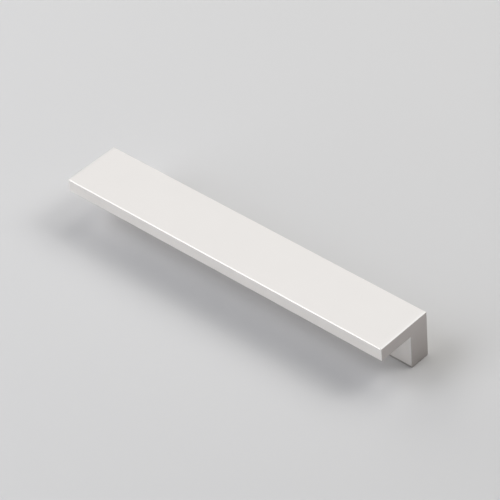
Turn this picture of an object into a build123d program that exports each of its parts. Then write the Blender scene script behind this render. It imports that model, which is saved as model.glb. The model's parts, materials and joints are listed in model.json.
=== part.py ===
from build123d import *

import os
from math import radians, tan

# A furniture handle: one straight length of L-section profile. The leg stands on the door or drawer
# front and is screwed to it from behind, and the flange reaches forward over the finger gap.
# The origin is on the mounting face, midway between the two fixing holes. X runs along the profile,
# the lip of the flange points towards -Y, and +Z leads away from the door or drawer front.

# Section, in millimetres
flange_depth = 26.9
flange_thickness = 5.9
leg_thickness = 9.8
projection = 22.1

# Edges of the section
lip_top_radius = 0.6
lip_bottom_radius = 0.2
back_top_radius = 0.2
back_foot_radius = 0.9
front_foot_radius = 0.3
inner_corner_radius = 0.3

# Fixing holes, drilled from the mounting face for M4 threads
hole_spacing = 160.0
hole_to_end = 4.0
tap_drill_radius = 1.65
hole_depth = 12.0
drill_point_angle = 118.0
mouth_radius = 2.1
mouth_angle = 90.0

# Saw-cut ends, with their edges lightly broken
end_break = 0.18

# Places that follow from the sizes
length = hole_spacing + 2 * hole_to_end
leg_back = leg_thickness / 2
leg_front = -leg_thickness / 2
lip_front = leg_back - flange_depth
flange_underside = projection - flange_thickness
drill_point_height = tap_drill_radius / tan(radians(drill_point_angle / 2))
mounting_face = Plane(origin=(0, 0, 0), x_dir=(1, 0, 0), z_dir=(0, 0, -1))

# Each corner of the section, with the radius that rounds it
corners = [
    ((leg_back, 0), back_foot_radius),
    ((leg_back, projection), back_top_radius),
    ((lip_front, projection), lip_top_radius),
    ((lip_front, flange_underside), lip_bottom_radius),
    ((leg_front, flange_underside), inner_corner_radius),
    ((leg_front, 0), front_foot_radius),
]

with BuildPart() as handle_profile:
    # The section, drawn at the left end and run to the right end
    with BuildSketch(Plane.YZ.offset(-length / 2)):
        with BuildLine():
            FilletPolyline(
                [point for point, radius in corners],
                radius=[radius for point, radius in corners],
                close=True,
            )
        make_face()
    extrude(amount=length)

    # Both ends
    ends = handle_profile.faces().filter_by(Axis.X)
    chamfer(ends.edges(), length=end_break)

    # Blind holes with a countersunk mouth and the drill's point at the bottom
    with Locations(mounting_face):
        with GridLocations(hole_spacing, 0, 2, 1):
            CounterSinkHole(
                radius=tap_drill_radius,
                counter_sink_radius=mouth_radius,
                depth=hole_depth,
                counter_sink_angle=mouth_angle,
            )
            with Locations((0, 0, -hole_depth)):
                Cone(
                    bottom_radius=0,
                    top_radius=tap_drill_radius,
                    height=drill_point_height,
                    align=(Align.CENTER, Align.CENTER, Align.MAX),
                    mode=Mode.SUBTRACT,
                )

os.makedirs("parts", exist_ok=True)
handle_profile.part.label = "handle_profile"
export_step(handle_profile.part, "parts/handle_profile.step")
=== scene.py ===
import json
from math import cos, pi, radians, sin, tan

import bmesh
import bpy
from mathutils import Matrix, Vector


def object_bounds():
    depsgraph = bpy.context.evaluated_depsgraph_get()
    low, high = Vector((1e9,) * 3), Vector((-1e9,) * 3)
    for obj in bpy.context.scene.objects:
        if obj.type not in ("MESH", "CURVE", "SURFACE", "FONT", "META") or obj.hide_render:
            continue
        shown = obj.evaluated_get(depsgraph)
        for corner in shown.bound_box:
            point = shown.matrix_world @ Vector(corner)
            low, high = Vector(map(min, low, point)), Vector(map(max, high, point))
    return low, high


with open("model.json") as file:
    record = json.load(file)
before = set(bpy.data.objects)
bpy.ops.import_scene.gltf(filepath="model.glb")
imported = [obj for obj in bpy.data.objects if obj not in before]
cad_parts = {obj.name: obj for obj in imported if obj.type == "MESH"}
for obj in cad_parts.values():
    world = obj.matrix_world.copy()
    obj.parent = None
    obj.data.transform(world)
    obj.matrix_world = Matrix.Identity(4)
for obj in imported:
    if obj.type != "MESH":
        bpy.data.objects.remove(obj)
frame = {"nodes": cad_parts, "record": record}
cad_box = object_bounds()

MM = 0.001

# Camera: where it stands as seen from the handle, and the point that it aims at
camera_azimuth = radians(45.62)
camera_elevation = radians(40.40)
camera_roll = radians(-5.31)
camera_distance = 1.058
camera_aim = Vector((-0.00355, -0.00029, 0.0111))
camera_lens = 189.8
camera_sensor = 36.0
camera_reach = 100.0

# Pale floor, a hair above the mounting face and open under the handle's foot, and the same paleness
# beyond it. The floor and its opening are given by half their length and half their width.
floor_reach = (4.0, 4.0)
floor_opening = (82.5 * MM, 3.5 * MM)
floor_lift = 0.005 * MM
floor_colour = (0.621, 0.620, 0.620, 1.0)
backdrop_colour = (0.66, 0.66, 0.665, 1.0)

# Light from all round: what falls on the floor, and what the metal reflects
world_light = 0.01
metal_surround = 0.67

# Tints of the lamps
warm = (1.0, 0.985, 0.950)
sunny = (1.0, 0.993, 0.980)
plain = (1.0, 1.0, 1.0)
cool = (0.940, 0.955, 1.0)

# Soft lamps that the metal doesn't reflect, so that they light only the floor. All are as far from the
# handle. Each gives its degrees round from the front, degrees up, width, height, brightness and tint.
lamp_distance = 1.5
floor_lamps = [
    ("back_right", 135, 48, 0.6, 0.7, 5.32, sunny),
    ("back_right_low", 125, 35, 0.6, 0.5, 0.42, plain),
    ("back", 172, 50, 1.0, 0.7, 2.01, warm),
    ("back_low", 175, 32, 1.0, 0.5, 0.47, warm),
    ("back_high", 195, 70, 0.6, 0.6, 2.29, warm),
    ("far_left", 250, 30, 1.0, 0.8, 2.15, warm),
    ("front_left", 305, 48, 1.0, 0.8, 3.51, cool),
    ("front_high", 330, 48, 0.8, 0.8, 1.44, cool),
    ("front", 330, 24, 1.0, 0.8, 2.89, cool),
    ("front_low", 345, 7, 0.7, 0.34, 1.53, cool),
]

# Pale cards that the metal reflects and that don't light the floor, given in the same way
cards = [
    ("card_front_right", 20, 20, 1.0, 0.9, 0.30, cool),
    ("card_front_left", 325, 20, 1.0, 0.9, 0.42, cool),
    ("card_left", 280, 20, 1.0, 0.9, 0.30, cool),
    ("card_back", 190, 20, 1.0, 0.9, 0.23, plain),
    ("card_front_left_high", 320, 38, 0.5, 0.5, 1.20, plain),
    ("card_left_high", 280, 52, 0.9, 0.9, 0.30, plain),
    ("card_far_left_high", 240, 50, 0.9, 0.9, 0.28, plain),
    ("card_back_high", 205, 50, 0.9, 0.9, 0.14, plain),
    ("card_top", 0, 86, 1.0, 1.0, 0.30, plain),
    ("card_back_small", 200, 54, 0.45, 0.45, 0.50, plain),
]

# Holes, as the record gives them
hole_pattern = frame["record"]["mounts"][0]["dims"]
hole_spacing = hole_pattern["spacing_x_mm"] * MM
drill_radius = hole_pattern["hole_r_mm"] * MM

# M4 thread in the holes. It starts half a turn outside the mouth, and in its last turn it gets shallow,
# down to a share of its depth. The solid that cuts it reaches a little way into the open hole.
thread_pitch = 0.7 * MM
thread_radius = 2.0 * MM
thread_depth = 10.0 * MM
thread_flank = radians(30)
thread_root = thread_pitch / 8
thread_start = -0.5
thread_run_out = 0.05
thread_inside = 0.05 * MM
thread_steps = 40

# Points closer than this become one, and edges that bend more than this are shaded sharp
weld_distance = 0.0001 * MM
sharp_angle = radians(50)

# Grain and cloudiness of the metal, as features to the millimetre, and the range that most noise lies in
grain_per_mm = 5.0
cloud_per_mm = 0.05
noise_range = (0.3, 0.7)

# Die lines along the profile: lines to the millimetre, and the length over which one changes
die_lines_per_mm = 7.0
die_line_length = 40.0

# Saw arcs on the cut ends: how far apart they are, how far they stray, and the blade's middle
saw_pitch_mm = 0.45
saw_stray_mm = 2.0
saw_centre_mm = (0.0, -60.0, -115.0)

# Height of the grain, and the heights of the die lines and saw arcs as shares of it
grain_height = 0.0012 * MM
die_line_share = 0.5
saw_share = 0.8

# Roughness from the grain, and what the other patterns and the polished edges add to it or take away
rough_range = (0.56, 0.62)
cloud_rough = 0.01
die_line_rough = 0.03
saw_rough = 0.05
edge_gloss = 0.38
rim_gloss = 0.20

# Colour of the metal at both ends of its cloudiness, and the tint of its cut ends
metal_colours = ((0.934, 0.911, 0.889, 1.0), (0.946, 0.923, 0.901, 1.0))
end_tint = (0.604, 0.584, 0.581, 1.0)

# How squarely a face looks along an axis where a mask starts and where it is full
end_facing = (0.4, 0.75)
side_facing = (0.7, 0.95)
edge_facing = (0.93, 0.995)

# Shade, tinted into the metal in three places. The first is a line round the foot, full up to one height
# and gone at another, and weaker on the cut ends. Heights and places are in millimetres.
shade_tint = (0.5, 0.49, 0.48, 1.0)
foot_line_heights = (0.6, 1.2)
foot_line_on_ends = 0.35

# The cut ends are shaded up to one height, and less and less up to another
end_shade_heights = (2.0, 16.0)
end_shade_depth = 0.24

# The leg's inner side is shaded. It is told from the lip in front of it and the leg's back behind it by
# how far back it lies.
inner_shade_behind = (-15.0, -10.0)
inner_shade_before = (0.0, 3.0)
inner_shade_depth = 0.11

# Rims next to the cut ends, which stand for broken edges. The shading there leans outward: it starts at
# one distance from the end and is full at another, in millimetres.
half_length_mm = cad_box[1][0] / MM
rim_distances = (1.2, 0.7)
rim_lean = 0.08


def node_tree(owner):
    """An empty node tree on a material or world."""
    owner.use_nodes = True
    owner.node_tree.nodes.clear()
    return owner.node_tree


def add_node(tree, kind, links=None, values=None, **settings):
    """A node with its settings, the values of its sockets, and the sockets that feed it."""
    node = tree.nodes.new(kind)
    for name, value in settings.items():
        setattr(node, name, value)
    for socket, value in (values or {}).items():
        node.inputs[socket].default_value = value
    for socket, source in (links or {}).items():
        tree.links.new(source, node.inputs[socket])
    return node


def calculate(tree, operation, first, second=0.0):
    """The result of one sum; each side is a socket or a number."""
    node = add_node(tree, "ShaderNodeMath", operation=operation)
    for socket, side in zip(node.inputs, (first, second)):
        if isinstance(side, (int, float)):
            socket.default_value = side
        else:
            tree.links.new(side, socket)
    return node.outputs[0]


def times(tree, first, second):
    """The product of two sides, each a socket or a number; of two masks, where both hold."""
    return calculate(tree, "MULTIPLY", first, second)


def calculate_vector(tree, operation, first, second=(0, 0, 0), result="Vector"):
    """The result of one sum with vectors; the second side is a socket or three numbers."""
    node = add_node(tree, "ShaderNodeVectorMath", operation=operation, links={0: first})
    if isinstance(second, tuple):
        node.inputs[1].default_value = second
    else:
        tree.links.new(second, node.inputs[1])
    return node.outputs[result]


def spread(tree, source, low, high, to_low, to_high):
    """A value stretched from one range to another, and held inside it."""
    return add_node(tree, "ShaderNodeMapRange", links={"Value": source}, values={
        "From Min": low, "From Max": high, "To Min": to_low, "To Max": to_high,
    }).outputs["Result"]


def noise(tree, place, scale, detail=2.0, roughness=0.5):
    """Even three-dimensional noise with so many features to the unit of length."""
    return add_node(tree, "ShaderNodeTexNoise", links={"Vector": place}, values={
        "Scale": scale, "Detail": detail, "Roughness": roughness,
    }).outputs["Fac"]


def either(tree, mask, first, second):
    """One shader where the mask is 0, and the other where it is 1."""
    return add_node(tree, "ShaderNodeMixShader", links={0: mask, 1: first, 2: second}).outputs[0]


def glow(tree, strength, colour=(1, 1, 1, 1)):
    """Light of one strength and colour from all round."""
    return add_node(tree, "ShaderNodeBackground", values={"Color": colour, "Strength": strength}).outputs[0]


def tinted(tree, colour, tint, mask):
    """A colour multiplied by a tint, as far as the mask holds."""
    return add_node(
        tree, "ShaderNodeMix", data_type="RGBA", blend_type="MULTIPLY",
        links={"Factor": mask, 6: colour}, values={7: tint},
    ).outputs[2]


def metal_masks(tree, place, facing):
    """Four masks: the cut ends, the rounded and broken edges, the shade, and the rims by the cut ends."""
    along, deep, up = add_node(tree, "ShaderNodeSeparateXYZ", links={0: place}).outputs
    facing_x, facing_y, facing_z = add_node(tree, "ShaderNodeSeparateXYZ", links={0: facing}).outputs
    ends = spread(tree, facing_x, *end_facing, 0.0, 1.0)
    squareness = calculate(tree, "MAXIMUM", calculate(tree, "MAXIMUM", facing_x, facing_y), facing_z)
    edges = spread(tree, squareness, *edge_facing, 1.0, 0.0)

    # Shade
    foot_line = spread(tree, up, *foot_line_heights, 1.0, 0.0)
    foot_line = times(tree, foot_line, spread(tree, facing_z, *side_facing, 1.0, 0.0))
    foot_line = times(tree, foot_line, spread(tree, ends, 0.0, 1.0, 1.0, foot_line_on_ends))
    end_shade = times(tree, ends, spread(tree, up, *end_shade_heights, end_shade_depth, 0.0))
    inner_shade = spread(tree, facing_y, *side_facing, 0.0, inner_shade_depth)
    inner_shade = times(tree, inner_shade, spread(tree, deep, *inner_shade_behind, 0.0, 1.0))
    inner_shade = times(tree, inner_shade, spread(tree, deep, *inner_shade_before, 1.0, 0.0))
    shaded = calculate(tree, "MAXIMUM", calculate(tree, "MAXIMUM", foot_line, end_shade), inner_shade)

    # Rims
    to_end = calculate(tree, "SUBTRACT", half_length_mm, calculate(tree, "ABSOLUTE", along))
    rims = spread(tree, to_end, *rim_distances, 0.0, 1.0)
    rims = times(tree, rims, calculate(tree, "SUBTRACT", 1.0, ends))
    return ends, edges, shaded, rims


def metal_patterns(tree, place, ends):
    """The grain, the cloudiness, the die lines along the profile, and the saw arcs on the cut ends."""
    grain = noise(tree, place, grain_per_mm, detail=3.0, roughness=0.6)
    cloud = noise(tree, place, cloud_per_mm)

    stretch = (1 / die_line_length, die_lines_per_mm, die_lines_per_mm)
    die_lines = noise(tree, calculate_vector(tree, "MULTIPLY", place, stretch), 1.0)
    die_lines = times(tree, die_lines, calculate(tree, "SUBTRACT", 1.0, ends))

    in_section = calculate_vector(tree, "MULTIPLY", place, (0, 1, 1))
    from_blade = calculate_vector(tree, "DISTANCE", in_section, saw_centre_mm, "Value")
    from_blade = calculate(tree, "ADD", from_blade, times(tree, cloud, saw_stray_mm))
    waves = calculate(tree, "SINE", times(tree, from_blade, 2 * pi / saw_pitch_mm))
    saw_arcs = times(tree, spread(tree, waves, -1.0, 1.0, 0.0, 1.0), ends)
    return grain, cloud, die_lines, saw_arcs


def leaning_normal(tree, place, rims):
    """The shading normal, which leans outward at the rims."""
    outward = calculate_vector(tree, "MULTIPLY", calculate_vector(tree, "SIGN", place), (rim_lean, 0, 0))
    straight = add_node(tree, "ShaderNodeNewGeometry").outputs["Normal"]
    leaning = calculate_vector(tree, "ADD", straight, calculate_vector(tree, "MULTIPLY", outward, rims))
    return calculate_vector(tree, "NORMALIZE", leaning)


def satin_aluminium():
    """Anodised aluminium with a fine even grain, faint die lines along the profile, faint saw arcs on
    the two cut ends, and polished edges. Tints stand for the shade round the foot, low on the cut ends
    and on the leg's inner side, and a lean of the shading stands for wider breaks at the cut ends."""
    material = bpy.data.materials.new("satin_aluminium")
    tree = node_tree(material)
    where = add_node(tree, "ShaderNodeTexCoord").outputs
    place = calculate_vector(tree, "MULTIPLY", where["Object"], (1 / MM, 1 / MM, 1 / MM))
    facing = calculate_vector(tree, "ABSOLUTE", where["Normal"])
    ends, edges, shaded, rims = metal_masks(tree, place, facing)
    grain, cloud, die_lines, saw_arcs = metal_patterns(tree, place, ends)

    rough = spread(tree, grain, *noise_range, *rough_range)
    rough = calculate(tree, "ADD", rough, spread(tree, cloud, *noise_range, -cloud_rough, cloud_rough))
    for pattern, amount in (
        (die_lines, die_line_rough), (saw_arcs, saw_rough), (edges, -edge_gloss), (rims, -rim_gloss),
    ):
        rough = calculate(tree, "ADD", rough, times(tree, pattern, amount))

    clouded = spread(tree, cloud, *noise_range, 0.0, 1.0)
    colour = add_node(
        tree, "ShaderNodeMix", data_type="RGBA",
        links={"Factor": clouded}, values={6: metal_colours[0], 7: metal_colours[1]},
    ).outputs[2]
    colour = tinted(tree, colour, end_tint, ends)
    colour = tinted(tree, colour, shade_tint, shaded)

    height = grain
    for pattern, share in ((die_lines, die_line_share), (saw_arcs, saw_share)):
        height = calculate(tree, "ADD", height, times(tree, pattern, share))
    relief = add_node(
        tree, "ShaderNodeBump", links={"Height": height, "Normal": leaning_normal(tree, place, rims)},
        values={"Strength": 1.0, "Distance": grain_height},
    )
    shader = add_node(
        tree, "ShaderNodeBsdfPrincipled", values={"Metallic": 1.0},
        links={"Base Color": colour, "Roughness": rough, "Normal": relief.outputs[0]},
    )
    add_node(tree, "ShaderNodeOutputMaterial", links={"Surface": shader.outputs[0]})
    return material


def thread_groove(name, x):
    """The helical groove of one M4 thread, as a solid that starts outside the mouth and runs out."""
    steps = round(thread_depth / thread_pitch * thread_steps)
    radius_inside = drill_radius - thread_inside
    half_root = thread_root / 2
    corners = []
    for step in range(steps + 1):
        angle = 2 * pi * step / thread_steps
        z = thread_pitch * (step / thread_steps + thread_start)
        fullness = max(min(1.0, (steps - step) / thread_steps), thread_run_out)
        radius = radius_inside + (thread_radius - radius_inside) * fullness
        half_mouth = half_root + (radius - radius_inside) * tan(thread_flank)
        section = (
            (radius_inside, -half_mouth), (radius, -half_root),
            (radius, half_root), (radius_inside, half_mouth),
        )
        corners += [(x + r * cos(angle), r * sin(angle), z + lift) for r, lift in section]

    # The sides from step to step, and then both ends
    sides = len(section)
    faces = []
    for step in range(steps):
        for side in range(sides):
            first = sides * step + side
            second = sides * step + (side + 1) % sides
            faces.append((first, second, second + sides, first + sides))
    faces.append(tuple(reversed(range(sides))))
    faces.append(tuple(range(sides * steps, sides * (steps + 1))))

    mesh = bpy.data.meshes.new(name)
    mesh.from_pydata(corners, [], faces)
    shape = bmesh.new()
    shape.from_mesh(mesh)
    bmesh.ops.recalc_face_normals(shape, faces=shape.faces)
    shape.to_mesh(mesh)
    shape.free()
    groove = bpy.data.objects.new(name, mesh)
    groove.hide_render = True
    groove.hide_viewport = True
    bpy.context.scene.collection.objects.link(groove)
    return groove


def cut_threads(node):
    """The threads, cut into the holes of the handle by modifiers."""
    weld = node.modifiers.new("weld", "WELD")
    weld.merge_threshold = weld_distance
    for side, x in (("left", -hole_spacing / 2), ("right", hole_spacing / 2)):
        cut = node.modifiers.new("thread_" + side, "BOOLEAN")
        cut.operation = "DIFFERENCE"
        cut.solver = "MANIFOLD"
        cut.object = thread_groove("groove_" + side, x)


def shade(node):
    """Shading that is smooth over rounded and broken edges, sharp at the others, and flat on wide faces."""
    tree = bpy.data.node_groups.new("sharp_edges", "GeometryNodeTree")
    for way in ("INPUT", "OUTPUT"):
        tree.interface.new_socket("Mesh", in_out=way, socket_type="NodeSocketGeometry")
    given = add_node(tree, "NodeGroupInput").outputs[0]
    bare = add_node(
        tree, "GeometryNodeRemoveAttribute", links={"Geometry": given}, values={"Name": "custom_normal"},
    ).outputs[0]
    smooth = add_node(
        tree, "GeometryNodeSetShadeSmooth", links={0: bare}, values={"Shade Smooth": True}, domain="FACE",
    ).outputs[0]
    bend = add_node(tree, "GeometryNodeInputMeshEdgeAngle").outputs["Unsigned Angle"]
    steep = calculate(tree, "GREATER_THAN", bend, sharp_angle)
    sharp = add_node(
        tree, "GeometryNodeSetShadeSmooth", links={0: smooth, 1: steep},
        values={"Shade Smooth": False}, domain="EDGE",
    ).outputs[0]
    add_node(tree, "NodeGroupOutput", links={0: sharp})
    node.modifiers.new("sharp_edges", "NODES").node_group = tree
    weighted = node.modifiers.new("weighted_normals", "WEIGHTED_NORMAL")
    weighted.mode = "FACE_AREA_WITH_ANGLE"
    weighted.keep_sharp = True


def toward(azimuth, elevation):
    """The direction at an azimuth, round from the front towards the right end, and an elevation."""
    return Vector((sin(azimuth) * cos(elevation), -cos(azimuth) * cos(elevation), sin(elevation)))


def point_camera():
    """The camera looks at its aim point, and is rolled a little."""
    away = toward(camera_azimuth, camera_elevation)
    level = Vector((cos(camera_azimuth), sin(camera_azimuth), 0.0))
    upright = away.cross(level)
    right = level * cos(camera_roll) + upright * sin(camera_roll)
    up = upright * cos(camera_roll) - level * sin(camera_roll)
    data = bpy.data.cameras.new("camera")
    data.sensor_width = camera_sensor
    data.lens = camera_lens
    data.clip_end = camera_reach
    camera = bpy.data.objects.new("camera", data)
    turn = Matrix((right, up, away)).transposed().to_4x4()
    camera.matrix_world = Matrix.Translation(camera_aim + away * camera_distance) @ turn
    bpy.context.scene.collection.objects.link(camera)
    bpy.context.scene.camera = camera


def pale_floor():
    """A matt floor from above, and clear from below."""
    material = bpy.data.materials.new("pale_floor")
    tree = node_tree(material)
    upper = add_node(tree, "ShaderNodeBsdfDiffuse", values={"Color": floor_colour}).outputs[0]
    under = add_node(tree, "ShaderNodeBsdfTransparent").outputs[0]
    from_below = add_node(tree, "ShaderNodeNewGeometry").outputs["Backfacing"]
    surface = either(tree, from_below, upper, under)
    add_node(tree, "ShaderNodeOutputMaterial", links={"Surface": surface})
    return material


def make_floor():
    """A pale floor at the handle's foot. It is open under the foot, and its own underside is clear, so
    that light reaches the foot and the holes when they are looked at from below."""
    corners = [
        (x * reach_x, y * reach_y, floor_lift)
        for reach_x, reach_y in (floor_reach, floor_opening)
        for x, y in ((-1, -1), (1, -1), (1, 1), (-1, 1))
    ]
    faces = [(side, (side + 1) % 4, (side + 1) % 4 + 4, side + 4) for side in range(4)]
    mesh = bpy.data.meshes.new("floor")
    mesh.from_pydata(corners, [], faces)
    mesh.materials.append(pale_floor())
    ground = bpy.data.objects.new("floor", mesh)
    bpy.context.scene.collection.objects.link(ground)


def make_world():
    """The faint light from all round, what the metal reflects of it, and the backdrop beyond the floor."""
    world = bpy.data.worlds.new("studio")
    bpy.context.scene.world = world
    tree = node_tree(world)
    path = add_node(tree, "ShaderNodeLightPath").outputs
    unseen = either(tree, path["Is Glossy Ray"], glow(tree, world_light), glow(tree, metal_surround))
    surface = either(tree, path["Is Camera Ray"], unseen, glow(tree, 1.0, backdrop_colour))
    add_node(tree, "ShaderNodeOutputWorld", links={"Surface": surface})


def add_lamp(name, azimuth, elevation, width, height, brightness, tint):
    """A soft rectangular lamp that faces the handle and isn't seen by the camera itself."""
    data = bpy.data.lights.new(name, "AREA")
    data.shape = "RECTANGLE"
    data.size = width
    data.size_y = height
    data.energy = pi * width * height * brightness
    data.color = tint
    way = toward(radians(azimuth), radians(elevation))
    lamp = bpy.data.objects.new(name, data)
    lamp.location = way * lamp_distance
    lamp.rotation_euler = way.to_track_quat("Z", "Y").to_euler()
    lamp.visible_camera = False
    bpy.context.scene.collection.objects.link(lamp)
    return lamp


point_camera()
make_floor()
make_world()
for facts in floor_lamps:
    add_lamp(*facts).visible_glossy = False
for facts in cards:
    add_lamp(*facts).visible_diffuse = False

handle = frame["nodes"]["handle_profile"]
cut_threads(handle)
shade(handle)
handle.material_slots[0].material = satin_aluminium()

bpy.context.scene.view_settings.view_transform = "Standard"
